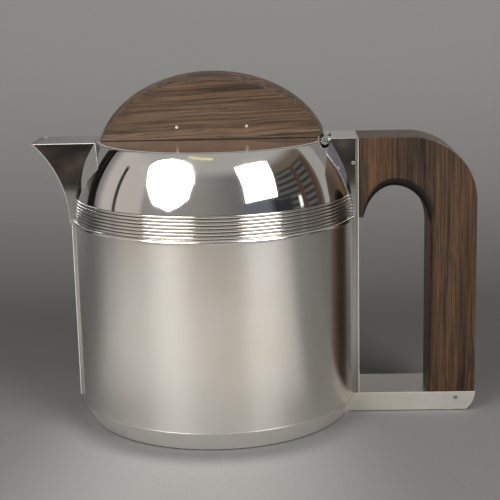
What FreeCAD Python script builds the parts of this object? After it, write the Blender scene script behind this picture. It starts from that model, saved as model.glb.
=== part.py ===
import FreeCAD, Part
import math
import os

V = FreeCAD.Vector
os.makedirs("parts", exist_ok=True)

# Driving sizes in millimetres. The pot's axis is Z, the table is z = 0, the handle is at +X.
body_r = 60.0
wall = 1.2
foot_h = 8.4
foot_taper = 4.15
base_t = 1.4
bead_h = 1.8
bead_out = 1.0
bead_seat = 0.4
dome_up = 0.8
reed_count = 7
reed_pitch = 1.33
reed_depth = 0.25
reed_clear = 0.03
top_z = 119.0
shoulder_h = 33.8

box_w = 25.5
sheet = 1.1
plate_proud = 0.8
plate_t = 1.2
cover_t = 0.9

spout_curve = 45.0
spout_sheet = 0.7
spout_slot = 2.0
strip_gap = 0.6
opening_w = 17.0
opening_up = 3.0
opening_down = 6.0

seat_w = 3.3
seat_t = 1.5
lid_t = 1.5
lid_gap = 0.32
lid_rest = 0.1
flange_h = 5.0
flange_t = 1.2
flange_gap = 0.4

hinge_in = 1.85
hinge_drop = 0.6
knuckle_r = 1.85
hinge_pin_r = 0.8
running = 0.05
turn_gap = 0.35
chord_gap = 0.55
knuckle_half = 4.1
barrel_past = 3.25
side_gap = 0.3
leaf_reach = 2.6
leaf_clear = 0.4

fin_t = 16.4
fin_rise = 27.9
fin_edge_rise = 24.6
fin_length_in = 0.4
fin_edge_in = 1.9
fin_swell = 9.0
fin_edge_swell = 11.0
fin_notch = 0.65
fin_heel_in = 0.2
fin_pin_x = 14.6
fin_pin_up = 5.3
tang_l = 6.0
tang_t = 3.0
tang_up = 9.5
loose = 0.1

handle_reach = 49.4
handle_bend = 27.5
grip_x = 19.55
arch_w = 14.95
arch_drop = 20.65
tip_drop = 33.4
arch_long = 18.1
tip_t = 2.0
grip_round = 4.15
tip_round = 0.8
tenon_w = 18.0
tenon_in = 3.6
tenon_top = 2.5
tenon_clear = 0.81
handle_pin_r = 0.85
upper_pin_in = 2.2
upper_pin_up = 2.1

lower_past = 0.3
lower_end_r = 10.1
lower_tenon_in = 5.9
lower_tenon_l = 9.3
lower_tenon_w = 16.0
lower_tenon_gap = 0.8
lower_pin_in = 8.0
lower_pin_up = 5.9

# Sizes that follow from those above.
half_w = box_w / 2
inner_w = half_w - sheet
plate_x = body_r + plate_proud
wall_in = body_r - wall
band_z = top_z - shoulder_h
bead_z = band_z + bead_h
band_top = bead_z + reed_count * reed_pitch
dome_z = band_z + dome_up
lid_z = top_z - lid_t
seat_z = lid_z - lid_rest


def skin(z, depth=0.0):
    """Radius of the dome at a height, at a depth below its outside."""
    return math.sqrt((body_r - depth) ** 2 - (z - dome_z) ** 2)


mouth_r = skin(top_z, wall)
lid_r = mouth_r - lid_gap
seat_in = mouth_r - seat_w
flange_r = seat_in - flange_gap
hinge_x = mouth_r - hinge_in
hinge_z = top_z - hinge_drop
chord_x = hinge_x - knuckle_r - chord_gap
barrel_w = half_w + barrel_past
leaf_x = hinge_x + leaf_reach
cover_z = top_z - cover_t
curve_x = -plate_x - spout_curve
handle_x = plate_x + handle_reach


def point(p, y=0.0):
    return V(p[0], y, p[1])


def face(start, *steps):
    """Face in the XZ plane. A step is a point, or a pair of points for an arc."""
    here = start
    edges = []
    for step in steps + (start,):
        if isinstance(step[0], tuple):
            edges.append(Part.Arc(point(here), point(step[0]), point(step[1])).toShape())
            here = step[1]
        elif point(here).distanceToPoint(point(step)) > 1e-6:
            edges.append(Part.makeLine(point(here), point(step)))
            here = step
    return Part.Face(Part.Wire(edges))


def turned(flat):
    return flat.revolve(V(0, 0, 0), V(0, 0, 1), 360)


def across(flat, y0, y1):
    solid = flat.extrude(V(0, y1 - y0, 0))
    solid.translate(V(0, y0, 0))
    return solid


def block(x0, x1, y0, y1, z0, z1):
    return Part.makeBox(x1 - x0, y1 - y0, z1 - z0, V(x0, y0, z0))


def rod(x, z, r, y0, y1):
    return Part.makeCylinder(r, y1 - y0, V(x, y0, z), V(0, 1, 0))


def oval_arc(centre, wide, tall, start, end):
    """Part of an oval in an XZ plane, between two angles counted from +X towards +Z."""
    if wide >= tall:
        oval = Part.Ellipse(centre + V(wide, 0, 0), centre + V(0, 0, tall), centre)
        return Part.ArcOfEllipse(oval, start, end).toShape()
    oval = Part.Ellipse(centre + V(0, 0, tall), centre - V(wide, 0, 0), centre)
    return Part.ArcOfEllipse(oval, start - math.pi / 2, end - math.pi / 2).toShape()


def save(name, *solids):
    shape = solids[0] if len(solids) == 1 else Part.makeCompound(list(solids))
    if len(solids) == 1 and shape.ShapeType == "Compound" and len(shape.Solids) == 1:
        shape = shape.Solids[0]
    shape.exportStep("parts/" + name + ".step")


def dome_arc(z0, z1, depth=0.0):
    middle = (z0 + z1) / 2
    return ((skin(middle, depth), middle), (skin(z1, depth), z1))


# The outside of the pot as one filled shape, to trim everything that is soldered to it.
crest = -reed_depth - reed_clear
outside = turned(face((0, 0), (body_r - foot_taper, 0), (body_r, foot_h), (body_r, bead_z),
                      (skin(bead_z, crest), bead_z), dome_arc(bead_z, band_top, crest),
                      (skin(band_top), band_top), dome_arc(band_top, top_z),
                      (skin(top_z), top_z + 3), (0, top_z + 3)))

# Wall, foot and bottom
save("body_wall", turned(face((wall_in, foot_h), (body_r, foot_h), (body_r, band_z), (wall_in, band_z))))
slope = foot_taper / foot_h
foot_low = body_r - foot_taper
save("foot_ring", turned(face((foot_low - wall, 0), (foot_low, 0), (body_r, foot_h), (wall_in, foot_h))))
save("base_plate", turned(face((0, 0), (foot_low - wall, 0), (foot_low - wall + slope * base_t, base_t),
                               (0, base_t))))

# Bead and reeds. The bead stops at the upright strips.
bead_in = body_r - bead_seat
bead = turned(face((bead_in, band_z), (body_r, band_z),
                   ((body_r + bead_out, band_z + bead_h / 2), (body_r, bead_z)), (bead_in, bead_z)))
bead = bead.cut(block(-body_r * 2, body_r * 2, -half_w, half_w, band_z - 1, bead_z + 1))
save("bead_wire", *bead.Solids)

ring_in = skin(band_top, wall)
reeds = []
for i in range(reed_count):
    low = bead_z + i * reed_pitch
    mid = low + reed_pitch / 2
    high = low + reed_pitch
    reeds.append(((skin(mid, -reed_depth), mid), (skin(high, reed_depth), high)))
band = turned(face((ring_in, band_z), (bead_in, band_z), (bead_in, bead_z),
                   (skin(bead_z, reed_depth), bead_z), *reeds, (ring_in, band_top)))


# Spout: front with its strip, two cheeks and a top that leaves the pouring slot.
def curve(z, r):
    return (curve_x + math.sqrt(r ** 2 - (z - dome_z) ** 2), z)


def curve_to(z0, z1, r):
    return (curve((z0 + z1) / 2, r), curve(z1, r))


inside_r = spout_curve + spout_sheet
strip_back = -math.sqrt(body_r ** 2 - half_w ** 2) + 1.0
front = face((-plate_x, foot_h + strip_gap), (-plate_x, dome_z), curve_to(dome_z, top_z, spout_curve),
             curve(top_z, inside_r), curve_to(top_z, bead_z, inside_r),
             (strip_back, bead_z), (strip_back, foot_h + strip_gap))
front = across(front, -half_w, half_w).cut(outside)
save("spout_front", front)

middle_x = -skin(top_z) / 2
cheek = face((middle_x, bead_z), curve(bead_z, inside_r), curve_to(bead_z, top_z, inside_r),
             (middle_x, top_z))
save("spout_cheek_near", across(cheek, -half_w, -inner_w).cut(outside))
save("spout_cheek_far", across(cheek, inner_w, half_w).cut(outside))
slot_x = curve(top_z, inside_r)[0] + spout_slot
save("spout_top", block(slot_x, middle_x, -inner_w, inner_w, cover_z, top_z).cut(outside))

# Upper bracket: strip down the wall, two cheeks and a top with the hinge at its edge.
plate_in = plate_x - plate_t
strip = face((-strip_back, foot_h), (plate_x, foot_h), (plate_x, top_z), (plate_in, top_z),
             (plate_in, bead_z), (-strip_back, bead_z))
strip = across(strip, -half_w, half_w).cut(outside)
tenon_z = top_z - tenon_top
tenon_low = dome_z + math.sqrt(body_r ** 2 - (plate_x - tenon_in - tenon_clear) ** 2)
mortise = block(plate_in - 2, plate_x + 2, -tenon_w / 2 - loose, tenon_w / 2 + loose,
                tenon_low - loose, tenon_z + loose)
save("back_strip", strip.cut(mortise))
band = band.cut(front).cut(strip)
save("reeded_band", band)

pocket_w = half_w + side_gap
pocket = rod(hinge_x, hinge_z, knuckle_r + turn_gap, -body_r, body_r)
pocket = pocket.fuse(block(hinge_x, leaf_x, -pocket_w, pocket_w, cover_z - leaf_clear, top_z + 2))
leaf_w = knuckle_half + side_gap
pocket = pocket.fuse(block(chord_x + 0.1, hinge_x, -leaf_w, leaf_w, seat_z, top_z + 2))

upper_pin = rod(plate_x - upper_pin_in, tenon_low + upper_pin_up, handle_pin_r, -half_w, half_w)
side = face((-middle_x, bead_z), (plate_in, bead_z), (plate_in, top_z), (-middle_x, top_z))
for name, y0 in (("bracket_cheek_near", -half_w), ("bracket_cheek_far", inner_w)):
    save(name, across(side, y0, y0 + sheet).cut(outside).cut(pocket).cut(upper_pin))
bracket_top = block(leaf_x, plate_in, -inner_w, inner_w, cover_z, top_z)
save("bracket_top", bracket_top)

# Dome, with the way into the spout, and the ledge that carries the lid.
dome = turned(face((skin(band_top, wall), band_top), (skin(band_top), band_top), dome_arc(band_top, top_z),
                   (mouth_r, top_z), dome_arc(top_z, band_top, wall)))
way = block(-body_r, middle_x, -opening_w / 2, opening_w / 2, band_top + opening_up,
            top_z - opening_down)
save("shoulder_dome", dome.cut(pocket).cut(bracket_top).cut(way))

ledge = turned(face((seat_in, seat_z - seat_t), (skin(seat_z - seat_t, wall), seat_z - seat_t),
                    dome_arc(seat_z - seat_t, seat_z, wall), (seat_in, seat_z)))
land = turned(face((0, seat_z), (skin(seat_z, wall), seat_z), dome_arc(seat_z, top_z, wall), (0, top_z)))
land = land.common(block(chord_x + lid_gap, body_r, -body_r, body_r, seat_z, top_z))
save("mouth_ring", ledge.fuse(land).cut(pocket).cut(bracket_top).removeSplitter())

# Lower bracket: a hollow bar with a rounded end, closed underneath.
lower_end = handle_x + lower_past
end_x = lower_end - lower_end_r
end_turn = math.asin(foot_h / lower_end_r)
end_low = (end_x + lower_end_r * math.cos(end_turn), 0)
end_mid = (end_x + lower_end_r * math.cos(end_turn / 2), foot_h - lower_end_r * math.sin(end_turn / 2))
bar = across(face((body_r / 2, 0), end_low, (end_mid, (lower_end, foot_h)), (body_r / 2, foot_h)),
             -half_w, half_w).cut(outside)
hollow_x = end_low[0] - plate_t
hollow_w = half_w - plate_t
bar = bar.cut(block(0, hollow_x, -hollow_w, hollow_w, -1, foot_h - plate_t))
lower_tenon_x = handle_x - lower_tenon_in
bar = bar.cut(block(lower_tenon_x - lower_tenon_l - loose, lower_tenon_x + loose, -lower_tenon_w / 2 - loose,
                    lower_tenon_w / 2 + loose, 0, foot_h + 1))
lower_pin = rod(handle_x - lower_pin_in, lower_pin_up, handle_pin_r, -half_w, half_w)
save("lower_bracket", bar.cut(lower_pin))
save("lower_bracket_floor", block(body_r / 2, hollow_x, -hollow_w, hollow_w, 0, plate_t).cut(outside))

# Handle: one outline, its inner edges rounded, a tenon at each end.
arch_x = handle_x - grip_x - arch_w
arch_top = top_z - arch_drop
tip_z = top_z - tip_drop
oval_z = arch_top - arch_long
oval_turn = math.asin((tip_z - oval_z) / arch_long)
oval_w = (arch_x - plate_x - tip_t) / math.cos(oval_turn)
left_arc = oval_arc(V(arch_x, 0, oval_z), oval_w, arch_long, math.pi / 2, math.pi - oval_turn)
right_arc = oval_arc(V(arch_x, 0, oval_z), arch_w, arch_long, 0, math.pi / 2)
tip_x = arch_x - oval_w * math.cos(oval_turn)
bend_x = handle_x - handle_bend
bend_z = top_z - handle_bend
low_x = handle_x - grip_x
diagonal = math.sqrt(0.5)


def arc(a, b, c):
    return Part.Arc(point(a), point(b), point(c)).toShape()


def line(a, b):
    return Part.makeLine(point(a), point(b))


edges = [line((plate_x, top_z), (bend_x, top_z)),
         arc((bend_x, top_z), (bend_x + handle_bend * diagonal, bend_z + handle_bend * diagonal),
             (handle_x, bend_z)),
         line((handle_x, bend_z), (handle_x, foot_h)),
         line((handle_x, foot_h), (low_x, foot_h)),
         line((low_x, foot_h), (low_x, oval_z)),
         right_arc,
         left_arc,
         line((tip_x, tip_z), (plate_x, tip_z)),
         line((plate_x, tip_z), (plate_x, top_z))]
grip = across(Part.Face(Part.Wire(edges)), -half_w, half_w)


def round_inner(shape):
    """Round the edges round the fingers: full radius on the grip and arch, fading to the tip."""
    rounds = []
    for number, edge in enumerate(shape.Edges, 1):
        box = edge.BoundBox
        flat = box.YLength < 1e-4
        inner = box.XMax < low_x + 0.01 and box.XMin > plate_x + 0.1 and box.ZMax < arch_top + 0.01
        if flat and inner and box.ZLength > 1:
            ends = (grip_round, grip_round)
            if box.XMax < arch_x + 0.01:
                first = edge.valueAt(edge.FirstParameter)
                falling = first.z > edge.valueAt(edge.LastParameter).z
                ends = (grip_round, tip_round) if falling else (tip_round, grip_round)
            rounds.append((number,) + ends)
    doc = FreeCAD.newDocument("rounding")
    base = doc.addObject("Part::Feature", "base")
    base.Shape = shape
    rounded = doc.addObject("Part::Fillet", "rounded")
    rounded.Base = base
    rounded.Edges = rounds
    doc.recompute()
    result = rounded.Shape.copy()
    FreeCAD.closeDocument(doc.Name)
    return result


grip = round_inner(grip).Solids[0]
grip = grip.fuse(block(plate_x - tenon_in, plate_x, -tenon_w / 2, tenon_w / 2, tenon_low, tenon_z))
grip = grip.fuse(block(lower_tenon_x - lower_tenon_l, lower_tenon_x, -lower_tenon_w / 2, lower_tenon_w / 2,
                       plate_t + lower_tenon_gap, foot_h))
save("handle", grip.cut(upper_pin).cut(lower_pin))
save("handle_pins", upper_pin, lower_pin)

# Lid: disc cut straight at the hinge, ring below it, wood fin on two tangs.
lid = Part.makeCylinder(lid_r, lid_t, V(0, 0, lid_z))
save("lid_plate", lid.cut(block(chord_x, body_r, -body_r, body_r, lid_z - 1, top_z + 1)))
ring = turned(face((flange_r - flange_t, lid_z - flange_h), (flange_r, lid_z - flange_h),
                   (flange_r, lid_z), (flange_r - flange_t, lid_z)))
ring = ring.cut(block(chord_x, body_r, -body_r, body_r, lid_z - flange_h - 1, top_z))
save("lid_flange", ring.cut(rod(hinge_x, hinge_z, knuckle_r + turn_gap, -body_r, body_r)))


def fin_wire(y, length, rise, swell):
    """Half-oval section of the fin, reaching a little below the lid's top face."""
    tall = rise + swell
    wide = length / math.sqrt(1 - (swell / tall) ** 2)
    start = math.asin((swell - 1) / tall)
    rim = oval_arc(V(0, y, top_z - swell), wide, tall, start, math.pi - start)
    ends = [rim.valueAt(rim.FirstParameter), rim.valueAt(rim.LastParameter)]
    return Part.Wire([rim, Part.makeLine(ends[1], ends[0])])


half_fin = fin_t / 2
fin = Part.makeLoft([fin_wire(-half_fin, lid_r - fin_edge_in, fin_edge_rise, fin_edge_swell),
                     fin_wire(0, lid_r - fin_length_in, fin_rise, fin_swell),
                     fin_wire(half_fin, lid_r - fin_edge_in, fin_edge_rise, fin_edge_swell)], True, False)
fin = fin.cut(block(-body_r, body_r, -body_r, body_r, top_z - 5, top_z))
fin = fin.cut(rod(hinge_x, hinge_z, knuckle_r + fin_notch, -body_r, body_r))
fin = fin.cut(block(hinge_x - fin_heel_in, body_r, -body_r, body_r, top_z - 1, top_z + fin_rise))
tangs = []
pins = []
for x in (-fin_pin_x, fin_pin_x):
    pin = rod(x, top_z + fin_pin_up, handle_pin_r, -half_fin, half_fin)
    tang = block(x - tang_l / 2, x + tang_l / 2, -tang_t / 2, tang_t / 2, top_z, top_z + tang_up)
    slot = block(x - tang_l / 2 - loose, x + tang_l / 2 + loose, -tang_t / 2 - loose, tang_t / 2 + loose,
                 top_z - 1, top_z + tang_up + loose)
    fin = fin.cut(slot).cut(pin)
    tangs.append(tang.cut(pin))
    pins.append(pin)
save("lid_fin", fin)
save("fin_tangs", *tangs)
save("fin_pins", *pins)

# Hinge
knuckle = rod(hinge_x, hinge_z, knuckle_r, -knuckle_half, knuckle_half)
knuckle = knuckle.fuse(block(chord_x, hinge_x, -knuckle_half, knuckle_half, lid_z, top_z))
save("lid_knuckle", knuckle.cut(rod(hinge_x, hinge_z, hinge_pin_r + running, -half_w, half_w)))
outer = []
for side in (-1, 1):
    barrel = rod(hinge_x, hinge_z, knuckle_r, *sorted((side * leaf_w, side * barrel_w)))
    leaf = block(hinge_x, leaf_x, *sorted((side * leaf_w, side * half_w)), cover_z, top_z)
    outer.append(barrel.fuse(leaf).cut(rod(hinge_x, hinge_z, hinge_pin_r, -barrel_w, barrel_w)))
save("bracket_knuckles", *[piece.Solids[0] for piece in outer])
save("hinge_pin", rod(hinge_x, hinge_z, hinge_pin_r, -barrel_w, barrel_w))
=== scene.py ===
import math

import bmesh
import bpy
from bmesh.types import BMEdge, BMFace, BMVert
from mathutils import Matrix, Vector


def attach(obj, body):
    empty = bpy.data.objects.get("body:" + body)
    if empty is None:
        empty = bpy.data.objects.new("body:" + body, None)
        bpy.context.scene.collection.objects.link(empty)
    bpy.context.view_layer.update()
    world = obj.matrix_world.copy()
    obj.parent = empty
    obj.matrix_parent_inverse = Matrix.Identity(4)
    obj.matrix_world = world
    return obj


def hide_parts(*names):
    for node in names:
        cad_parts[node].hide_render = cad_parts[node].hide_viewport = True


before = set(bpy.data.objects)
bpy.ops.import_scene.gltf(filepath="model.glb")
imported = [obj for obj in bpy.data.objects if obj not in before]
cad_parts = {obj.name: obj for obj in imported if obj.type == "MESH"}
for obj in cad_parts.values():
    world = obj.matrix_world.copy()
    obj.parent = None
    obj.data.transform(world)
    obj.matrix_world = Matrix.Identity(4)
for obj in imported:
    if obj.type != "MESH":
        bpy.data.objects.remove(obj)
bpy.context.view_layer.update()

MM = 0.001
TINY = 1e-7

# Sizes in millimetres, as in the solids. The reeds, the spout's sheet and strip and the fin's pins are finer,
# as in the photograph. The pot's axis is Z and the handle is at +X.
body_r, wall_t, foot_h, foot_r, top_z = 60.0, 1.2, 8.4, 55.85, 119.0
rebate, foot_land, foot_lift = 0.22, 0.9, 0.5
band_z, bead_out, bead_seat = 85.2, 1.0, 0.4
reed_count, reed_pitch, reed_out, groove_depth = 7, 1.33, 0.16, 0.42
dome_z, bead_z, dome_mid, rim_edge = 86.0, 87.0, 108.0, 0.15
band_top = bead_z + reed_count * reed_pitch
wall_in = body_r - wall_t
bead_in = body_r - bead_seat
slope = (body_r - foot_r) / foot_h

half_w, inner_w = 12.75, 11.65
plate_x, plate_in, plate_t = 60.8, 59.6, 1.2
cover_z, cover_end = top_z - 0.9, -49.0
spout_r, spout_sheet, spout_slot, strip_low = 45.0, 0.45, 2.0, 9.0
spout_x, spout_in = -plate_x - spout_r, spout_r + spout_sheet
strip_x, strip_half, seam_x = plate_x - 0.5, 11.0, 59.7
step_low, step_high = dome_z - 1.2, dome_z - 0.9
opening_w, opening_end, opening_low, opening_high = 17.0, -20.0, band_top + 3.0, top_z - 6.0
plate_edge, pin_edge, fin_pin_edge = 0.25, 0.25, 0.2

mouth_r, lid_r, lid_t, chord_x = 48.667, 48.347, 1.5, 44.417
hinge_x, hinge_z, knuckle_r, hinge_wire_r = 46.817, 118.4, 1.85, 0.8
leaf_x, leaf_low, leaf_pocket_w, leaf_pocket_z = 49.417, 117.7, 4.4, 117.4
pocket_w, pocket_z = half_w + 0.3, cover_z - 0.4
turn_gap, fin_notch, fin_heel_x = 0.35, 0.65, 46.617
barrel_w, taper, taper_from, bore_r = 16.0, 0.18, 13.0, 1.2

fin_half, fin_crest_l, fin_edge_l = 8.2, 47.947, 46.447
fin_crest_h, fin_edge_h, fin_crest_swell, fin_edge_swell = 27.9, 24.6, 9.0, 11.0
fin_pin_x, fin_pin_z = 14.6, top_z + 5.3
pin_r, fin_pin_r, pin_gap = 0.85, 0.65, 0.05
upper_pin, lower_pin = (58.6, 108.6), (102.2, 5.9)

arm_start, arm_hollow, arm_bend, lower_end, lower_end_r = 50.0, 104.81, 105.9, 110.5, 10.1
grip_front, grip_back, arch_low = 61.0, 110.0, 91.5

# Plates start at core_x, inside the wall, and are moved out until they bite into it. The sides of the spout
# and the bracket start cheek_in below the shoulder's outside. Holes are cut from -through to through.
core_x, bite, solder_in, cheek_in, through = 58.0, 0.02, 0.3, 1.75, 20.0
round_steps, curve_steps, cross_cuts, fin_cuts, fin_unit = 192, 32, 12, 16, 1000.0
hug = body_r - cheek_in

# Fine gaps under the arm, the handle and the fin: a box and its core, each with its limits in X, Y and Z
arm_gap = (56, 112, -14, 14, -1, 0.45), (50, 103.5, -11.9, 11.9, -2, 2)
grip_gap = (80, 112, -14, 14, 8.0, foot_h + 0.25), (93.6, 106.5, -11.5, 11.5, 7, 9)
fin_gap = (-50, 50, -9, 9, 118, top_z + 0.3), (-45, 43.6, -7.3, 7.3, 117, 120)


def skin(z, depth=0.0):
    """Radius of the shoulder's sphere at a height, at a depth below its outside."""
    return math.sqrt((body_r - depth) ** 2 - (z - dome_z) ** 2)


def rise_to(z, r):
    """The angle, in degrees, at which a round centred at dome_z comes up to a height."""
    return math.degrees(math.asin((z - dome_z) / r))


def only(kind, parts):
    return [part for part in parts if isinstance(part, kind)]


def whole(mesh):
    return mesh.verts[:] + mesh.edges[:] + mesh.faces[:]


class Outline:
    """A line drawn in the XZ plane, point by point and arc by arc, in millimetres."""

    def __init__(self, x, z):
        self.mesh = bmesh.new()
        self.first = self.last = self.mesh.verts.new((x * MM, 0, z * MM))

    def to(self, *points):
        for x, z in points:
            grown = bmesh.ops.extrude_vert_indiv(self.mesh, verts=[self.last])
            self.last = grown["verts"][0]
            self.last.co = (x * MM, 0, z * MM)
        return self

    def turn(self, x, z, degrees, steps):
        """Goes round the centre x, z, from +X towards +Z where the turn is positive."""
        swept = bmesh.ops.spin(self.mesh, geom=[self.last], cent=(x * MM, 0, z * MM), axis=(0, -1, 0),
                               angle=math.radians(degrees), steps=steps)
        self.last = only(BMVert, swept["geom_last"])[0]
        return self

    def bow(self, middle, end, steps):
        """Goes to end on the arc that passes through middle."""
        a = Vector((self.last.co.x, self.last.co.z)) / MM
        b, c = Vector(middle) - a, Vector(end) - a
        twice = 2 * (b.x * c.y - b.y * c.x)
        centre = Vector((c.y * b.length_squared - b.y * c.length_squared,
                         b.x * c.length_squared - c.x * b.length_squared)) / twice
        half = math.atan2((b - centre).cross(-centre), (b - centre).dot(-centre))
        rest = math.atan2((c - centre).cross(b - centre), (c - centre).dot(b - centre))
        return self.turn(a.x + centre.x, a.y + centre.y, -math.degrees(half + rest), steps)

    def closed(self):
        self.mesh.edges.new((self.last, self.first))
        return self.mesh


def turned(outline):
    """The closed outline turned once round the pot's axis."""
    mesh = outline.closed()
    bmesh.ops.spin(mesh, geom=mesh.verts[:] + mesh.edges[:], axis=(0, 0, 1), angle=math.tau,
                   steps=round_steps, use_merge=True)
    return mesh


def slab(outline, y0, y1, slices=1):
    """The closed outline as a plate from y0 to y1, with cross cuts where its faces bend later."""
    mesh = outline.closed()
    bmesh.ops.contextual_create(mesh, geom=mesh.edges[:])
    bmesh.ops.translate(mesh, verts=mesh.verts[:], vec=(0, y0 * MM, 0))
    grown = bmesh.ops.extrude_face_region(mesh, geom=mesh.faces[:])["geom"]
    bmesh.ops.translate(mesh, verts=only(BMVert, grown), vec=(0, (y1 - y0) * MM, 0))
    for cut in range(1, slices):
        y = (y0 + (y1 - y0) * cut / slices) * MM
        bmesh.ops.bisect_plane(mesh, geom=whole(mesh), dist=TINY, plane_co=(0, y, 0), plane_no=(0, 1, 0))
    return mesh


def rod(x, z, r, y0, y1, round_end=0.0, segments=40):
    """A round bar across the pot, its ends domed by round_end."""
    mesh = bmesh.new()
    bmesh.ops.create_cone(mesh, cap_ends=True, segments=segments, radius1=r * MM, radius2=r * MM,
                          depth=(y1 - y0) * MM,
                          matrix=Matrix.Translation((x * MM, (y0 + y1) / 2 * MM, z * MM))
                          @ Matrix.Rotation(math.pi / 2, 4, "X"))
    if round_end:
        rims = [edge for edge in mesh.edges if edge.is_manifold and edge.calc_face_angle() > 1]
        bmesh.ops.bevel(mesh, geom=rims, offset=round_end * MM, segments=5, profile=0.5,
                        affect="EDGES", material=-1)
    return mesh


def block(x0, x1, y0, y1, z0, z1):
    mesh = bmesh.new()
    bmesh.ops.create_cube(mesh, size=1.0)
    bmesh.ops.scale(mesh, verts=mesh.verts[:], vec=((x1 - x0) * MM, (y1 - y0) * MM, (z1 - z0) * MM))
    bmesh.ops.translate(mesh, verts=mesh.verts[:],
                        vec=((x0 + x1) / 2 * MM, (y0 + y1) / 2 * MM, (z0 + z1) / 2 * MM))
    return mesh


def score(start, end, y, r=0.08):
    """A thin square bar, on its corner, to cut a seam line at y between two points in the XZ plane."""
    a, b = (Vector((x * MM, y * MM, z * MM)) for x, z in (start, end))
    turn = (b - a).to_track_quat("Z", "Y").to_matrix().to_4x4()
    mesh = bmesh.new()
    bmesh.ops.create_cone(mesh, cap_ends=True, segments=4, radius1=r * MM, radius2=r * MM,
                          depth=(b - a).length, matrix=Matrix.Translation((a + b) / 2) @ turn)
    return mesh


def gap_under(outer, core):
    """A flat ring, outer less core, that cuts a fine gap under a piece."""
    return carved(block(*outer), block(*core))


def copied(node):
    """A merged copy of a solid's loose triangles, with its flat faces made whole."""
    mesh = bmesh.new()
    mesh.from_mesh(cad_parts[node].data)
    bmesh.ops.remove_doubles(mesh, verts=mesh.verts[:], dist=1e-6)
    bmesh.ops.dissolve_limit(mesh, angle_limit=math.radians(0.6), verts=mesh.verts[:],
                             edges=mesh.edges[:])
    return mesh


def soften(mesh, width, chosen=lambda x, y, z: True, segments=2, sharper=50):
    """Rounds the sharp edges whose middles, in millimetres, are chosen, and marks them as rubbed."""
    bmesh.ops.recalc_face_normals(mesh, faces=mesh.faces[:])
    edges = [edge for edge in mesh.edges
             if edge.is_manifold and edge.calc_face_angle() > math.radians(sharper)
             and chosen(*((edge.verts[0].co + edge.verts[1].co) / 2 / MM))]
    rounded = bmesh.ops.bevel(mesh, geom=edges, offset=width * MM, offset_type="OFFSET",
                              segments=segments, profile=0.5, affect="EDGES", material=-1,
                              clamp_overlap=True)
    for side in rounded["faces"]:
        side.material_index = 1
    return mesh


def sit_on(mesh, radius, side, chosen):
    """Moves the chosen corners along X on to an upright round, whose radius may depend on height."""
    for corner in mesh.verts:
        x, y, z = corner.co / MM
        if chosen(x, y, z):
            corner.co.x = side * math.sqrt(radius(z) ** 2 - y ** 2) * MM


def reaches(value, limit):
    """Whether a length comes up to a limit, but for rounding."""
    return value > limit - 0.01


def outer_top(x, y, z):
    return reaches(abs(y), half_w) and reaches(z, top_z)


def dress(mesh, index, chosen):
    """Gives the chosen faces the finish with that index."""
    for side in mesh.faces:
        if chosen(side):
            side.material_index = index


def lowest(side):
    """A face's lowest height, in millimetres."""
    return min(corner.co.z for corner in side.verts) / MM


def cheek_plate(outline, side):
    """A side of the spout or the bracket: the near one at -1, the far one at 1."""
    return slab(outline, *sorted((side * half_w, side * inner_w)))


def joined(first, second):
    """Both meshes as one."""
    spare = bpy.data.meshes.new("spare")
    second.to_mesh(spare)
    first.from_mesh(spare)
    bpy.data.meshes.remove(spare)
    return first


def to_mesh(mesh, name):
    bmesh.ops.remove_doubles(mesh, verts=mesh.verts[:], dist=TINY)
    bmesh.ops.recalc_face_normals(mesh, faces=mesh.faces[:])
    data = bpy.data.meshes.new(name)
    mesh.to_mesh(data)
    mesh.free()
    return data


def carved(mesh, *tools):
    """The mesh with the tools cut out of it."""
    scene = bpy.context.scene.collection
    thing = bpy.data.objects.new("work", to_mesh(mesh, "work"))
    scene.objects.link(thing)
    cutters = []
    for tool in tools:
        cutters.append(bpy.data.objects.new("tool", to_mesh(tool, "tool")))
        scene.objects.link(cutters[-1])
        cut = thing.modifiers.new("cut", "BOOLEAN")
        cut.operation, cut.solver, cut.object = "DIFFERENCE", "EXACT", cutters[-1]
    bpy.context.view_layer.update()
    result = bmesh.new()
    ready = thing.evaluated_get(bpy.context.evaluated_depsgraph_get())
    result.from_mesh(bpy.data.meshes.new_from_object(ready))
    for used in [thing] + cutters:
        bpy.data.objects.remove(used)
    return result


def piece(mesh, name, body, finish, slot, *nodes, weighted=True):
    """Makes the mesh a finished piece that rides on its body and stands for its solids. There may be several
    finishes: for the faces, for the rubbed edges and for faces dressed apart."""
    data = to_mesh(mesh, name)
    data.shade_smooth()
    data.set_sharp_from_angle(angle=math.radians(40))
    for part in finish if isinstance(finish, tuple) else (finish, finish):
        data.materials.append(part)
    thing = bpy.data.objects.new(name, data)
    bpy.context.scene.collection.objects.link(thing)
    if weighted:
        thing.modifiers.new("flat faces", "WEIGHTED_NORMAL").keep_sharp = True
    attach(thing, body)
    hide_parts(*nodes)


class Value:
    """A number in a finish. Arithmetic on it adds Math nodes."""

    def __init__(self, finish, socket):
        self.finish = finish
        self.socket = socket

    def maths(self, operation, *values):
        return self.finish.add("ShaderNodeMath", {"operation": operation}, dict(enumerate(values)))

    def then(self, operation, *others):
        return self.maths(operation, self, *others)

    def __add__(self, other):
        return self.then("ADD", other)

    def __radd__(self, other):
        return self.maths("ADD", other, self)

    def __sub__(self, other):
        return self.then("SUBTRACT", other)

    def __rsub__(self, other):
        return self.maths("SUBTRACT", other, self)

    def __mul__(self, other):
        return self.then("MULTIPLY", other)


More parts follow.
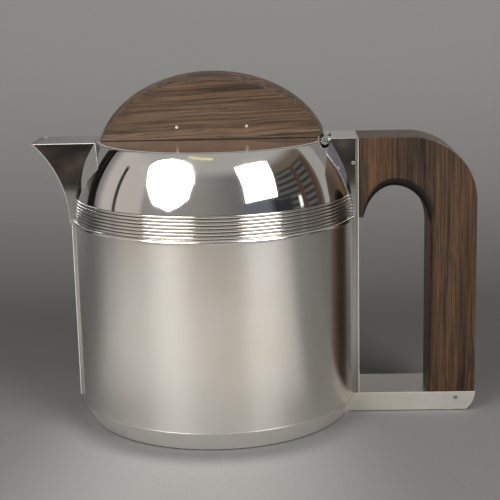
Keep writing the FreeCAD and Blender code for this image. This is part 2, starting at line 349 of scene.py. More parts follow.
class Nodes:
    """The nodes of a finish, or of the room's light."""

    def __init__(self, tree):
        self.tree = tree

    def add(self, kind, settings, inputs, output=0):
        node = self.tree.nodes.new(kind)
        for name, value in settings.items():
            if name == "stops":
                ramp = node.color_ramp.elements
                while len(ramp) < len(value):
                    ramp.new(0.5)
                for stop, (place, colour) in zip(ramp, value):
                    stop.position, stop.color = place, (*colour, 1.0)
            else:
                setattr(node, name, value)
        for name, value in inputs.items():
            if isinstance(value, Value):
                self.tree.links.new(value.socket, node.inputs[name])
            else:
                node.inputs[name].default_value = value
        return Value(self, node.outputs[output])

    def ramp(self, value, *stops):
        return self.add("ShaderNodeValToRGB", {"stops": stops}, {"Fac": value})

    def span(self, value, low, high, out_low=0.0, out_high=1.0):
        """Goes from out_low to out_high, smoothly, as the value goes from low to high."""
        return self.add("ShaderNodeMapRange", {"interpolation_type": "SMOOTHSTEP"},
                        {"Value": value, "From Min": low, "From Max": high,
                         "To Min": out_low, "To Max": out_high})

    def between(self, value, low, high, soft):
        """One from low to high and nought beyond, with soft edges."""
        rise, fall = (low - soft, low + soft), (high - soft, high + soft)
        return self.span(value, *rise) * self.span(value, *fall, 1.0, 0.0)

    def mixed(self, share, first, second, how="MIX"):
        first, second = ((*part, 1.0) if isinstance(part, tuple) else part for part in (first, second))
        node = {"data_type": "RGBA", "blend_type": how}
        return self.add("ShaderNodeMix", node, {"Factor": share, 6: first, 7: second}, 2)


class Finish(Nodes):
    """A material under construction."""

    def __init__(self, name, fixed):
        self.material = bpy.data.materials.new(name)
        self.material.use_nodes = True
        super().__init__(self.material.node_tree)
        self.shader = self.tree.nodes["Principled BSDF"]
        for socket, value in fixed.items():
            self.shader.inputs[socket].default_value = value

    def feed(self, socket, value):
        self.tree.links.new(value.socket, self.shader.inputs[socket])

    def place(self, scale, turn=(0, 0, 0), shift=(0, 0, 0)):
        """The piece's own coordinates, turned, then stretched by scale."""
        here = self.add("ShaderNodeTexCoord", {}, {}, "Object")
        here = self.add("ShaderNodeMapping", {}, {"Vector": here, "Rotation": turn, "Location": shift})
        return self.add("ShaderNodeMapping", {}, {"Vector": here, "Scale": scale})

    def stretched(self, place, scale):
        return self.add("ShaderNodeVectorMath", {"operation": "MULTIPLY"}, {0: place, 1: scale})

    def noise(self, place, scale, detail, rough):
        return self.add("ShaderNodeTexNoise", {}, {"Vector": place, "Scale": scale, "Detail": detail,
                                                   "Roughness": rough}, "Fac")

    def bump(self, height, strength, distance):
        self.feed("Normal", self.add("ShaderNodeBump", {}, {"Height": height, "Strength": strength,
                                                            "Distance": distance}))


def silver(name, colour, roughness, blur, unevenness, drawn=0.0, grooves=False):
    """Silver with tarnish in its colour, rubbed patches and hair scratches in its gloss, and a hand-raised
    surface. Where there are grooves, the colour goes down to half the tarnished tone between the reeds."""
    finish = Finish(name, {"Metallic": 1.0, "Anisotropic": drawn, "Anisotropic Rotation": 0.25})
    plain = finish.place((1, 1, 1))
    patches = finish.noise(plain, 38, 3, 0.55)
    scratches = finish.noise(finish.place((60, 60, 1400), (0.3, 0.2, 0)), 1.0, 2, 0.6)
    warm = tuple(part * shade for part, shade in zip(colour, (0.955, 0.935, 0.90)))
    tarnish = finish.span(finish.noise(plain, 21, 4, 0.6), 0.48, 0.72)
    tone = finish.mixed(tarnish, colour, warm)
    if grooves:
        height = finish.add("ShaderNodeSeparateXYZ", {}, {0: plain}, "Z")
        level = ((height - bead_z * MM) * (1 / (reed_pitch * MM))).then("FRACT")
        shade = finish.between(level, 0.16, 0.84, 0.14)
        tone = finish.mixed(shade, tuple(part * 0.5 for part in warm), tone)
    finish.feed("Base Color", tone)
    finish.feed("Roughness", roughness + finish.span(patches, 0.42, 0.7) * blur
                + finish.span(scratches, 0.62, 0.74) * blur * 0.7)
    raised = finish.noise(plain, 55, 1, 0.4) + finish.span(scratches, 0.66, 0.76) * -0.02
    finish.bump(raised, unevenness, 0.0006)
    return finish.material


def wood(name, turn, shift, base, spread, sway, figure, gloss, shine=0.4, underside_shade=0.0):
    """Dark hardwood: bands, fine streaks and short pores that sway together along the grain. Figure is the
    share of the bands. Faces that look down are darkened towards black by the share given, as painted shade."""
    finish = Finish(name, {"Specular IOR Level": shine})
    grain = finish.place((1, 1, 1), turn, shift)
    wave = finish.noise(finish.stretched(grain, (24, 24, 24)), 1.0, 2, 0.5)
    grain = finish.add("ShaderNodeVectorMath", {"operation": "MULTIPLY_ADD"},
                       {0: wave, 1: (sway, sway, 0.0), 2: grain})
    bands = finish.noise(finish.stretched(grain, (170, 170, 6)), 1.0, 2, 0.5)
    streaks = finish.noise(finish.stretched(grain, (800, 800, 9)), 1.0, 3, 0.6)
    fibres = finish.noise(finish.stretched(grain, (1700, 1700, 26)), 1.0, 2, 0.6)
    pores = finish.noise(finish.stretched(grain, (2100, 2100, 80)), 1.0, 1, 0.5)
    pores = finish.span(pores, 0.56, 0.70)
    tone = bands * figure + streaks * (0.66 - figure) + fibres * 0.34
    stops = ((0.36, 0.16), (0.44, 0.56), (0.50, 1.0), (0.56, 1.45), (0.64, 2.0))
    stops = ((place, max(0.06, 1 + (share - 1) * spread)) for place, share in stops)
    colour = finish.ramp(tone, *((place, tuple(part * share for part in base)) for place, share in stops))
    reddish = finish.mixed(1.0, colour, (1.10, 0.97, 0.86), "MULTIPLY")
    patches = finish.noise(finish.stretched(grain, (110, 110, 14)), 1.0, 2, 0.5)
    colour = finish.mixed(finish.span(patches, 0.42, 0.62), colour, reddish)
    dark = tuple(part * 0.35 for part in base)
    colour = finish.mixed(pores * 0.6, colour, dark)
    if underside_shade:
        # Painted shade: faces that look down go towards black.
        facing = finish.add("ShaderNodeTexCoord", {}, {}, "Normal")
        facing = finish.add("ShaderNodeSeparateXYZ", {}, {0: facing}, "Z")
        colour = finish.mixed(finish.span(facing, -0.22, -0.04, underside_shade, 0), colour, (0.0, 0.0, 0.0))
    finish.feed("Base Color", colour)
    finish.feed("Roughness", gloss + fibres * 0.1 + pores * 0.1)
    finish.bump(fibres * 0.4 + streaks * 0.3 - pores * 0.6, 0.12, 0.0002)
    return finish.material


polished = silver("polished_silver", (0.91, 0.895, 0.865), 0.04, 0.05, 0.05)
reeded = silver("reeded_silver", (0.90, 0.88, 0.845), 0.15, 0.05, 0.03)
grooved = silver("grooved_silver", (0.88, 0.85, 0.81), 0.12, 0.04, 0.03, grooves=True)
satin = silver("satin_silver", (0.92, 0.895, 0.85), 0.245, 0.012, 0.03, 0.86)
foot_satin = silver("satin_silver_foot", (0.92, 0.895, 0.85), 0.46, 0.03, 0.03, 0.5)
# Painted shade: the handle's strip is silver darkened to under half the pot's own.
shaded_strip_satin = silver("satin_silver_strip_painted_shade", (0.43, 0.415, 0.39), 0.30, 0.03, 0.01)
# Painted shade: the spout's front strip is silver darkened well below the pot's own.
shaded_spout_satin = silver("satin_silver_spout_strip_painted_shade", (0.56, 0.54, 0.515), 0.30, 0.03, 0.01)
# Painted shade: the lower arm's top is silver darker than the pot's own.
shaded_arm_top_satin = silver("satin_silver_arm_top_painted_shade", (0.80, 0.775, 0.735), 0.2, 0.03, 0.01)
# Painted light: silver paler and warmer than the pot's own, on the lower arm's sides and end and on the
# hidden flat plates.
lit_satin = silver("satin_silver_flat_painted_light", (0.98, 0.94, 0.87), 0.43, 0.04, 0.06)
# Painted shade: the sides of the spout's front plate above the shoulder are rough silver darkened well below
# the pot's own.
shaded_spout_edge = silver("spout_edge_silver_painted_shade", (0.44, 0.43, 0.41), 0.7, 0.05, 0.02)
rubbed = silver("rubbed_silver_edge", (0.95, 0.93, 0.90), 0.8, 0.05, 0.02)
# Painted shade: the handle's pins are silver darkened to half the pot's own.
shaded_pin_finish = silver("pin_silver_painted_shade", (0.44, 0.41, 0.36), 0.36, 0.08, 0.05)
# Painted shade: the fin's pins are silver darker than the pot's own.
shaded_fin_pin_finish = silver("fin_pin_silver_painted_shade", (0.72, 0.69, 0.63), 0.43, 0.05, 0.05)
# Painted shade: the hinge wire is silver darkened nearly to black, so its end shows as a dark dot.
shaded_wire_finish = silver("hinge_wire_painted_shade", (0.20, 0.19, 0.17), 0.36, 0.08, 0.05)
fin_turn = (0, math.radians(92.5), 0)
fin_grain = (fin_turn, (0.013, 0.002, 0.041), (0.083, 0.052, 0.0325), 1.0, 0.0018, 0.26)
fin_wood = wood("fin_wood", *fin_grain, 0.36)
fin_top = wood("fin_wood_top", *fin_grain, 0.2, 1.0)
grip_grain = ((0, 0, 0), (0.055, 0.017, 0.0), (0.049, 0.0262, 0.0125), 1.3, 0.003, 0.36)
# The handle carries painted shade under its arch and on its other undersides.
grip_wood = wood("grip_wood", *grip_grain, 0.42, underside_shade=0.85)
grip_top = wood("grip_wood_top", *grip_grain, 0.24, 0.75)


# Wall, foot, bead and reeds, turned
wall = Outline(wall_in, foot_h).to((body_r - rebate, foot_h), (body_r - rebate, foot_h + rebate),
                                   (body_r, foot_h + rebate), (body_r, band_z), (wall_in, band_z))
piece(turned(wall), "straight_wall", "pot", satin, "satin_silver", "body_wall", weighted=False)
foot = Outline(foot_r - wall_t, 0).to((foot_r - foot_land, 0), (foot_r - foot_land, foot_lift),
                                      (foot_r + slope * foot_lift, foot_lift), (body_r, foot_h),
                                      (wall_in, foot_h))
piece(turned(foot), "tapered_foot", "pot", foot_satin, "satin_silver", "foot_ring", weighted=False)

# The bead has two rounds, about these centres, and stops at the upright strips
bead_gap = math.degrees(math.asin(half_w / (body_r + bead_out / 2)))
bead_low, bead_high = (body_r + 0.55, band_z + 0.4), (body_r - 0.54, band_z + 0.4)
bead = Outline(bead_in, band_z).to((bead_low[0], band_z)).turn(*bead_low, 90, 6)
bead = bead.turn(*bead_high, 65, 12).to((bead_in, bead_z)).closed()
bmesh.ops.contextual_create(bead, geom=bead.edges[:])
bmesh.ops.rotate(bead, verts=bead.verts[:], matrix=Matrix.Rotation(math.radians(bead_gap), 3, "Z"))
bmesh.ops.spin(bead, geom=whole(bead), axis=(0, 0, 1), angle=math.radians(180 - 2 * bead_gap), steps=84)
other = bmesh.ops.duplicate(bead, geom=whole(bead))["geom"]
bmesh.ops.rotate(bead, verts=only(BMVert, other), matrix=Matrix.Rotation(math.pi, 3, "Z"))
piece(bead, "half_round_bead", "pot", reeded, "polished_silver", "bead_wire")

ring_in = skin(band_top, wall_t)
band = Outline(ring_in, band_z).to((bead_in, band_z), (bead_in, bead_z),
                                   (skin(bead_z, groove_depth), bead_z))
for reed in range(reed_count):
    mid, high = bead_z + (reed + 0.5) * reed_pitch, bead_z + (reed + 1) * reed_pitch
    band.bow((skin(mid, -reed_out), mid), (skin(high, groove_depth), high), 14)
band = turned(band.to((ring_in, band_top)))
piece(band, "reeded_ring", "pot", grooved, "polished_silver", "reeded_band")

# Shoulder, with the hinge's pocket and the way into the spout
dome = Outline(skin(band_top), band_top)
dome.bow((skin(dome_mid), dome_mid), (skin(top_z - rim_edge), top_z - rim_edge), 40)
dome.to((skin(top_z) - rim_edge, top_z), (mouth_r + rim_edge, top_z), (mouth_r, top_z - rim_edge))
dome.bow((skin(dome_mid, wall_t), dome_mid), (skin(band_top, wall_t), band_top), 40)
above = top_z + 2
dome = carved(turned(dome),
              rod(hinge_x, hinge_z, knuckle_r + turn_gap, -body_r, body_r),
              block(hinge_x, leaf_x + 0.01, -pocket_w, pocket_w, pocket_z, above),
              block(chord_x + 0.1, hinge_x, -leaf_pocket_w, leaf_pocket_w, leaf_pocket_z, above),
              block(-body_r, opening_end, -opening_w / 2, opening_w / 2, opening_low, opening_high))
piece(dome, "shoulder", "pot", polished, "polished_silver", "shoulder_dome")
piece(copied("mouth_ring"), "mouth_ledge", "pot", polished, "polished_silver", "mouth_ring")

# Spout, whose front goes on down the wall as a narrower strip, set back
rise, rise_in, low_turn = rise_to(top_z, spout_r), rise_to(top_z, spout_in), rise_to(bead_z, spout_in)
lip_in = spout_x + math.cos(math.radians(rise_in)) * spout_in
front = Outline(-strip_x, strip_low).to((-strip_x, step_low), (-plate_x, step_high), (-plate_x, dome_z))
front.turn(spout_x, dome_z, rise, curve_steps).to((lip_in, top_z))
front.turn(spout_x, dome_z, low_turn - rise_in, curve_steps).to((-core_x, bead_z), (-core_x, strip_low))
front = slab(front, -half_w, half_w, cross_cuts)
for level in (step_low, step_high):
    bmesh.ops.bisect_plane(front, geom=whole(front), dist=TINY, plane_co=(0, 0, level * MM),
                           plane_no=(0, 0, 1))
for corner in front.verts:
    if reaches(abs(corner.co.y) / MM, half_w) and reaches(step_low, corner.co.z / MM):
        corner.co.y = math.copysign(strip_half * MM, corner.co.y)
sit_on(front, lambda z: body_r - bite, -1, lambda x, y, z: x > -core_x - 1)
strip_seam = (-seam_x, 0), (-seam_x, step_low)
front = carved(front, *(score(*strip_seam, side * strip_half, 0.12) for side in (-1, 1)))
soften(front, 0.36, lambda x, y, z: reaches(abs(y), strip_half) and reaches(-x, strip_x) and z < step_low)
soften(front, plate_edge, lambda x, y, z: reaches(abs(y), half_w) and reaches(-x, plate_x))
# The front plate's sides above the shoulder take the darkened finish, as painted shade.
dress(front, 2, lambda side: abs(side.normal.y) > 0.9 and side.calc_center_median().z > dome_z * MM)
piece(front, "spout_front_strip", "pot", (shaded_spout_satin, rubbed, shaded_spout_edge), "polished_silver", "spout_front")

for side, name, node in ((-1, "spout_side_near", "spout_cheek_near"),
                         (1, "spout_side_far", "spout_cheek_far")):
    cheek = Outline(lip_in, top_z).turn(spout_x, dome_z, low_turn - rise_in, curve_steps)
    cheek.to((-skin(bead_z, cheek_in), bead_z))
    cheek.turn(0, dome_z, rise_to(bead_z, hug) - rise_to(top_z, hug), curve_steps)
    cheek = soften(cheek_plate(cheek, side), plate_edge, outer_top)
    piece(cheek, name, "pot", (polished, rubbed), "polished_silver", node)
slot_x = lip_in + spout_slot
cover = Outline(slot_x, cover_z).to((cover_end, cover_z), (cover_end, top_z), (slot_x, top_z))
cover = slab(cover, -inner_w, inner_w, cross_cuts)
sit_on(cover, lambda z: skin(top_z) - solder_in, -1, lambda x, y, z: x > cover_end - 1)
soften(cover, 0.15, lambda x, y, z: reaches(-x, -slot_x) and reaches(z, top_z))
piece(cover, "spout_cover", "pot", (polished, rubbed), "polished_silver", "spout_top")

# Upper bracket and the strip below it
strip = Outline(core_x, foot_h).to((plate_x, foot_h), (plate_x, top_z), (plate_in, top_z),
                                   (plate_in, bead_z), (core_x, bead_z))
strip = slab(strip, -half_w, half_w, cross_cuts)
sit_on(strip, lambda z: body_r - bite, 1, lambda x, y, z: x < core_x + 1)
plate_seam = (plate_in, 0), (plate_in, top_z + 1)
strip = carved(strip, *(score(*plate_seam, side * half_w) for side in (-1, 1)))
soften(strip, plate_edge, lambda x, y, z: reaches(abs(y), half_w) and reaches(x, plate_x))
dress(strip, 2, lambda side: reaches(lowest(side), top_z))
piece(strip, "handle_strip", "pot", (shaded_strip_satin, rubbed, polished), "polished_silver", "back_strip")
for side, name, node in ((-1, "bracket_side_near", "bracket_cheek_near"),
                         (1, "bracket_side_far", "bracket_cheek_far")):
    cheek = Outline(skin(bead_z, cheek_in), bead_z)
    cheek.turn(0, dome_z, rise_to(leaf_low, hug) - rise_to(bead_z, hug), curve_steps)
    cheek.to((leaf_x, leaf_low), (leaf_x, top_z), (plate_in, top_z), (plate_in, bead_z))
    cheek = carved(cheek_plate(cheek, side), rod(*upper_pin, pin_r + pin_gap, -through, through),
                   score(*plate_seam, side * half_w))
    soften(cheek, plate_edge, outer_top)
    piece(cheek, name, "pot", (polished, rubbed), "polished_silver", node)

# Lower bracket, open below where its floor plate fits
end_x, end_turn = lower_end - lower_end_r, math.asin(foot_h / lower_end_r)
bar = Outline(arm_start, 0).to((end_x + math.sqrt(lower_end_r ** 2 - foot_h ** 2), 0))
bar.bow((end_x + lower_end_r * math.cos(end_turn / 2), foot_h - lower_end_r * math.sin(end_turn / 2)),
        (lower_end, foot_h), 12)
bar = slab(bar.to((arm_start, foot_h)), -half_w, half_w, cross_cuts)
sit_on(bar, lambda z: foot_r + slope * z - bite, 1, lambda x, y, z: x < arm_start + 1)
foot_seam = [((foot_r + slope * z) * math.cos(math.asin(half_w / (foot_r + slope * z))), z)
             for z in (0, foot_h)]
bar = carved(bar, block(arm_start, arm_hollow, -half_w + plate_t, half_w - plate_t, -1, foot_h - plate_t),
             rod(*lower_pin, pin_r + pin_gap, -through, through),
             gap_under(*arm_gap),
             *(score(*foot_seam, side * half_w, 0.2) for side in (-1, 1)))
soften(bar, 0.28, lambda x, y, z: reaches(x, lower_end) or reaches(abs(y), half_w) and x > body_r
       and z > 0.01 and (x > arm_bend or reaches(z, foot_h)))
dress(bar, 2, lambda side: lowest(side) > foot_h - 0.001)
piece(bar, "lower_arm", "pot", (lit_satin, rubbed, shaded_arm_top_satin), "satin_silver", "lower_bracket")

# Handle and its pins
grip = carved(copied("handle"), gap_under(*grip_gap))
soften(grip, 0.35, lambda x, y, z: reaches(abs(y), half_w)
       and (x > grip_back or z > arch_low and x > grip_front), 3)
soften(grip, 0.2, lambda x, y, z: reaches(abs(y), half_w) and reaches(-x, -plate_x))
dress(grip, 1, lambda side: side.normal.z > 0.6 and side.calc_center_median().z > 0.1)
piece(grip, "wood_handle", "pot", (grip_wood, grip_top), "dark_wood", "handle")
pins = joined(*(rod(*spot, pin_r, -half_w, half_w, pin_edge) for spot in (upper_pin, lower_pin)))
piece(pins, "cross_pins", "pot", shaded_pin_finish, "satin_silver", "handle_pins")

# Lid
lid = bmesh.new()
bmesh.ops.create_circle(lid, cap_ends=True, radius=lid_r * MM, segments=round_steps,
                        matrix=Matrix.Translation((0, 0, (top_z - lid_t) * MM)))
bmesh.ops.bisect_plane(lid, geom=whole(lid), plane_co=(chord_x * MM, 0, 0), plane_no=(1, 0, 0),
                       clear_outer=True)
grown = bmesh.ops.extrude_face_region(lid, geom=lid.faces[:])["geom"]
bmesh.ops.translate(lid, verts=only(BMVert, grown), vec=(0, 0, lid_t * MM))
soften(lid, 0.18, lambda x, y, z: reaches(z, top_z))
piece(lid, "lid_disc", "lid", (reeded, rubbed), "polished_silver", "lid_plate")
piece(copied("lid_flange"), "lid_ring", "lid", polished, "polished_silver", "lid_flange")

# Fin: half an ellipse, drawn through its sections from the near side to the far side, then cut off at the lid
fin = Outline(fin_unit, 0).turn(0, 0, 180, 144).closed()
bmesh.ops.contextual_create(fin, geom=fin.edges[:])
cap = fin.faces[:]
before = None
for cut in range(fin_cuts + 1):
    y = fin_half * (2 * cut / fin_cuts - 1)
    share = (y / fin_half) ** 2
    length = fin_crest_l + (fin_edge_l - fin_crest_l) * share
    swell = fin_crest_swell + (fin_edge_swell - fin_crest_swell) * share
    tall = fin_crest_h + (fin_edge_h - fin_crest_h) * share + swell
    wide = length / math.sqrt(1 - (swell / tall) ** 2)
    if before:
        grown = bmesh.ops.extrude_face_region(fin, geom=cap + cap[0].edges[:])["geom"]
        cap = only(BMFace, grown)
    corners = cap[0].verts[:]
    old_y, old_low, old_wide, old_tall = before or (0, 0, fin_unit, fin_unit)
    bmesh.ops.translate(fin, verts=corners, vec=(0, (y - old_y) * MM, -old_low * MM))
    bmesh.ops.scale(fin, verts=corners, vec=(wide / old_wide, 1, tall / old_tall))
    before = (y, top_z - swell, wide, tall)
    bmesh.ops.translate(fin, verts=corners, vec=(0, 0, before[1] * MM))
for spot, away in (((0, 0, top_z * MM), (0, 0, -1)), ((fin_heel_x * MM, 0, 0), (1, 0, 0))):
    cut = bmesh.ops.bisect_plane(fin, geom=whole(fin), dist=TINY, plane_co=spot, plane_no=away,
                                 clear_outer=True)["geom_cut"]
    bmesh.ops.contextual_create(fin, geom=only(BMEdge, cut))
soften(fin, 0.3, lambda x, y, z: reaches(abs(y), fin_half) and z > top_z + 0.5, 3, 25)
fin_pin_spots = (-fin_pin_x, fin_pin_z), (fin_pin_x, fin_pin_z)
fin = carved(fin, gap_under(*fin_gap),
             rod(hinge_x, hinge_z, knuckle_r + fin_notch, -through, through, segments=64),
             *(rod(*spot, fin_pin_r + pin_gap, -through, through) for spot in fin_pin_spots))
dress(fin, 0, lambda side: True)
dress(fin, 1, lambda side: abs(side.normal.y) < 0.96 and side.normal.z > 0.1)
piece(fin, "wood_fin", "lid", (fin_wood, fin_top), "dark_wood", "lid_fin")
pins = joined(*(rod(*spot, fin_pin_r, -fin_half, fin_half, fin_pin_edge) for spot in fin_pin_spots))
piece(pins, "fin_cross_pins", "lid", shaded_fin_pin_finish, "satin_silver", "fin_pins")

# Hinge. The outer knuckles taper towards their ends, outside their bores.
barrel = soften(copied("lid_knuckle"), 0.12)
piece(barrel, "lid_barrel", "lid", (reeded, rubbed), "polished_silver", "lid_knuckle")
barrels = soften(copied("bracket_knuckles"), 0.15)
for corner in barrels.verts:
    x, y, z = corner.co / MM
    if abs(y) > taper_from and math.hypot(x - hinge_x, z - hinge_z) > bore_r:
        share = taper * (abs(y) - taper_from) / (barrel_w - taper_from)
        corner.co.x -= (x - hinge_x) * share * MM
        corner.co.z -= (z - hinge_z) * share * MM
piece(barrels, "bracket_barrels", "pot", (reeded, rubbed), "polished_silver", "bracket_knuckles")
wire = rod(hinge_x, hinge_z, hinge_wire_r, -barrel_w, barrel_w, pin_edge)
piece(wire, "hinge_wire", "pot", shaded_wire_finish, "satin_silver", "hinge_pin")

# Solids that are shown as they are
for node, finish in (("bracket_top", polished), ("base_plate", lit_satin),
                     ("lower_bracket_floor", lit_satin), ("fin_tangs", lit_satin)):
    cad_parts[node].data.materials.clear()
    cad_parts[node].data.materials.append(finish)

# Camera, as in the photograph, with its focal length and the photograph's width in pixels
focal, photo_w, sensor_w = 1222.656, 500, 36.0
camera = bpy.data.cameras.new("camera")
camera.sensor_width, camera.lens, camera.clip_start = sensor_w, sensor_w * focal / photo_w, 0.01
eye = bpy.data.objects.new("camera", camera)
right, up = (0.999456, 0.024030, -0.022601), (0.016830, 0.217818, 0.975844)
back = (0.028373, -0.975693, 0.217295)
aim = Matrix((right, up, back)).transposed().to_4x4()
eye.matrix_world = Matrix.Translation((0.029578, -0.516067, 0.184513)) @ aim
bpy.context.scene.collection.objects.link(eye)
bpy.context.scene.camera = eye

# Paper sweep with painted light and shade: paler towards the back, a painted shadow just behind the pot and a
# painted pool of light in front of it. The polished pot also mirrors wider painted pools of light on the
# paper, and a dark sheet on the floor beyond the camera.
in_degrees = 180 / math.pi
paper = Finish("grey_paper", {"Roughness": 0.85, "Specular IOR Level": 0.15})
here = paper.place((1, 1, 1))
beside, depth = (paper.add("ShaderNodeSeparateXYZ", {}, {0: here}, axis) for axis in "XY")
# Painted light and shade in the paper's greys, by depth in metres: darker far in front of the pot, where only
# the pot mirrors it, a painted shadow just behind the pot, and paler towards the back.
painted_greys = ((-0.5, 0.13), (-0.42, 0.17), (-0.3, 0.20), (-0.02, 0.195), (0.06, 0.150), (0.18, 0.142),
         (0.31, 0.207), (0.51, 0.315), (0.8, 0.44), (0.95, 0.48), (1.07, 0.565), (1.13, 0.51),
         (1.24, 0.395), (1.5, 0.395))
bearing = beside.then("ARCTAN2", 0 - depth) * in_degrees
abreast = bearing.then("ABSOLUTE")
reach = paper.add("ShaderNodeVectorMath", {"operation": "LENGTH"}, {0: here}, "Value")
aside = (beside + 0.008).then("ABSOLUTE")
# Painted light: a pool of light on the paper in front of the pot, fading in away from its foot.
pool = paper.span(aside.then("DIVIDE", 0.04 - depth * 0.1), 0.2, 1.9, 1, 0)
pool = pool * paper.span(depth, -0.6, -0.15)
pool = pool * paper.span(reach, 0.061, 0.075) * paper.span(depth, -0.04, 0, 1, 0) * 0.85
# Painted light that only the pot mirrors: wider pools of light in front of the pot and off to its sides.
front_pool = paper.span(bearing, -106, -62) * paper.span(bearing, 54, 67, 1, 0)
front_pool = front_pool * paper.between(reach, 0.12, 0.4, 0.02)
side_pools = paper.between(abreast, 98, 146, 5) * paper.between(reach, 0.45, 0.72, 0.06)
mirrored = (front_pool * 1.85).then("MAXIMUM", side_pools * 0.8)
fleck_and_shade = paper.span(paper.noise(here, 900, 3, 0.6), 0.3, 0.7, 0.96, 1.04)
# Painted shade: the back of the sweep is darker towards the left.
fleck_and_shade = fleck_and_shade * (1 - paper.span(beside, -0.45, 0.05, 0.47, 0) * paper.span(depth, 0.95, 1.05))
warmth = paper.mixed(paper.span(depth, -0.25, 0.02, 1, 0), (1.0, 1.0, 1.0), (1.0, 0.955, 0.89))


def sheet_tone(depth, light):
    """The paper's colour at a depth behind the pot, with its painted light and shade, and with painted light
    added by that share.
    """
    grey = paper.ramp((depth + 0.5) * 0.5, *(((place + 0.5) * 0.5, (tone, tone * 0.994, tone * 0.975))
                                             for place, tone in painted_greys))
    return paper.mixed(1.0, paper.mixed(1.0, grey, fleck_and_shade * (1 + light), "MULTIPLY"), warmth, "MULTIPLY")


seen = sheet_tone(depth.then("MAXIMUM", -0.3), pool)
mirrored = sheet_tone(depth, pool.then("MAXIMUM", mirrored))
straight = paper.add("ShaderNodeLightPath", {}, {}, "Is Camera Ray")
paper.feed("Base Color", paper.mixed(straight, mirrored, seen))
# A dark sheet that only the pot mirrors, on the floor beyond the camera; it casts no shadow.
dark_sheet = Finish("dark_floor_sheet", {"Roughness": 0.9, "Specular IOR Level": 0.1})
sheet_noise = dark_sheet.noise(dark_sheet.place((22, 6, 1)), 1.0, 3, 0.6)
dark_sheet.feed("Base Color", dark_sheet.ramp(sheet_noise, (0.36, (0.004, 0.004, 0.004)), (0.5, (0.022, 0.015, 0.011)),
                                    (0.58, (0.055, 0.042, 0.033)), (0.68, (0.11, 0.105, 0.095))))


def staged(mesh, name, finish, seen=True):
    """Adds a thing to the stage. If it is not to be seen, the pot still mirrors it."""
    thing = bpy.data.objects.new(name, to_mesh(mesh, name))
    thing.data.shade_smooth()
    thing.data.materials.append(finish.material)
    thing.visible_camera = thing.visible_shadow = seen
    bpy.context.scene.collection.objects.link(thing)


def drawn_out(outline, width):
    """The open outline as a sheet of that width, with its X turned into depth behind the pot."""
    mesh = outline.mesh
    grown = bmesh.ops.extrude_edge_only(mesh, edges=mesh.edges[:])["geom"]
    bmesh.ops.translate(mesh, verts=only(BMVert, grown), vec=(0, width * MM, 0))
    bmesh.ops.translate(mesh, verts=mesh.verts[:], vec=(0, -width / 2 * MM, 0))
    bmesh.ops.rotate(mesh, verts=mesh.verts[:], matrix=Matrix.Rotation(math.pi / 2, 3, "Z"))
    return mesh


staged(drawn_out(Outline(-3000, 0).to((350, 0)).turn(350, 1200, 60, 24), 6000), "paper_sweep", paper)
staged(drawn_out(Outline(-2500, 1).to((-590, 1)), 4000), "floor_dark_sheet", dark_sheet, False)

flag = block(-1220, -1200, 416, 686, 0, 1000)
bmesh.ops.rotate(flag, verts=flag.verts[:], cent=(-1.21, 0.551, 0),
                 matrix=Matrix.Rotation(math.radians(-24.5), 3, "Z"))
staged(flag, "dark_flag", dark_sheet, False)


def softbox(name, corners, place, strength):
    """A flat lamp with the corners given across and up, facing the pot."""
    glow = Finish(name, {"Base Color": (0, 0, 0, 1), "Emission Color": (1, 1, 1, 1),
                         "Emission Strength": strength})
    mesh = Outline(*corners[0]).to(*corners[1:]).closed()
    bmesh.ops.contextual_create(mesh, geom=mesh.edges[:])
    aim = (Vector((0, 0, 0.1)) - Vector(place)).to_track_quat("Y", "Z").to_matrix().to_4x4()
    bmesh.ops.transform(mesh, verts=mesh.verts[:], matrix=Matrix.Translation(place) @ aim)
    staged(mesh, name, glow, False)


round_corners = ((214, 316), (70, 335), (-70, 330), (-280, 262), (-375, 185), (-372, 95), (-319, -96),
                 (-224, -254), (-173, -317), (82, -396), (236, -302), (349, -178), (357, 105), (315, 187))
square_corners = ((232, 228), (-257, 266), (-231, -38), (-266, -268), (236, -262), (248, 57))
softbox("round_softbox", round_corners, (-0.552, -0.712, 0.64), 6.2)
softbox("square_softbox", square_corners, (0.606, -0.667, 0.64), 9.0)

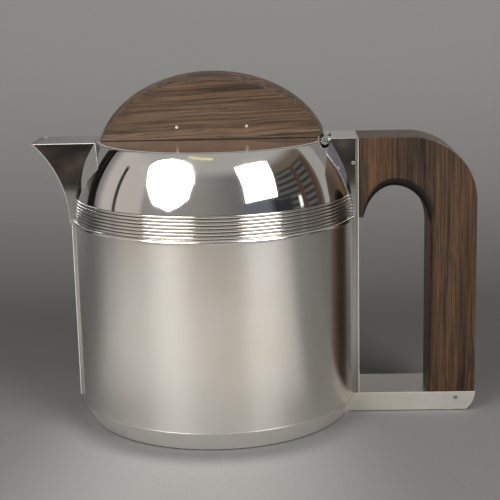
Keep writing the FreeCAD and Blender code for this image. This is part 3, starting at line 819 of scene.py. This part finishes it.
# Room light: a pale wall on the left, a pale ceiling, dimness behind the camera and dark shelves on the right
world = bpy.data.worlds.new("room")
world.use_nodes = True
bpy.context.scene.world = world
room = Nodes(world.node_tree)
outward = room.add("ShaderNodeTexCoord", {}, {}, "Generated")
across, ahead, upward = (room.add("ShaderNodeSeparateXYZ", {}, {0: outward}, axis) for axis in "XYZ")
bearing = across.then("ARCTAN2", 0 - ahead) * in_degrees
height = upward.then("ARCSINE") * in_degrees
view = room.mixed(room.span(bearing, -18, 24), (0.26, 0.255, 0.245), (0.15, 0.147, 0.142))
blue = room.mixed(room.span(bearing, 46, 55), (0.13, 0.135, 0.165), (0.03, 0.03, 0.035))
view = room.mixed(room.between(bearing, 26, 58, 2) * room.span(height, 16, 19, 1, 0), view, blue)
view = room.mixed(room.span(bearing, -56, -62), view, (0.47, 0.44, 0.415))
shelves = room.mixed(room.between((height * 0.25).then("FRACT"), 0.25, 0.75, 0.12),
                     (0.035, 0.033, 0.03), (0.10, 0.10, 0.095))
posts = room.between(bearing, 79, 84, 0.7) + room.between(bearing, 95, 104, 0.7)
shelves = room.mixed(posts.then("MINIMUM", 1), shelves, (0.075, 0.048, 0.034))
shelves = room.mixed(room.span(height, 31, 34), shelves, (0.13, 0.105, 0.085))
view = room.mixed(room.between(bearing, 58, 104, 1.2), view, shelves)
low_dark = room.between(bearing, 55, 69, 2) * room.span(height, 13, 16, 1, 0)
view = room.mixed(low_dark, view, (0.03, 0.03, 0.035))
view = room.mixed(room.span(height, 36, 46), view, (0.37, 0.36, 0.345))
view = room.mixed(room.span(bearing.then("ABSOLUTE"), 98, 109), view, (0.21, 0.207, 0.205))
view = room.mixed(room.between(bearing, 103.5, 118, 1), view, (0.33, 0.325, 0.315))
post = room.between(bearing, -88, -84.5, 0.5) * room.span(height, 29, 32, 1, 0)
view = room.mixed(post, view, (0.035, 0.033, 0.03))
lamp = room.between(bearing, 76, 79, 0.7) * room.between(height, 6, 13, 1)
view = room.mixed(lamp, view, (1.2, 1.2, 1.2))
gold_line = room.between(bearing, -28, 2, 0.6) * room.between(height, 53.2, 54.6, 0.3)
view = room.mixed(gold_line, view, (0.95, 0.84, 0.46))
straight = room.add("ShaderNodeLightPath", {}, {}, "Is Camera Ray")
view = room.mixed(straight, view, (0.21, 0.207, 0.202))
room.tree.links.new(view.socket, room.tree.nodes["Background"].inputs["Color"])

bpy.context.scene.view_settings.view_transform = "Standard"
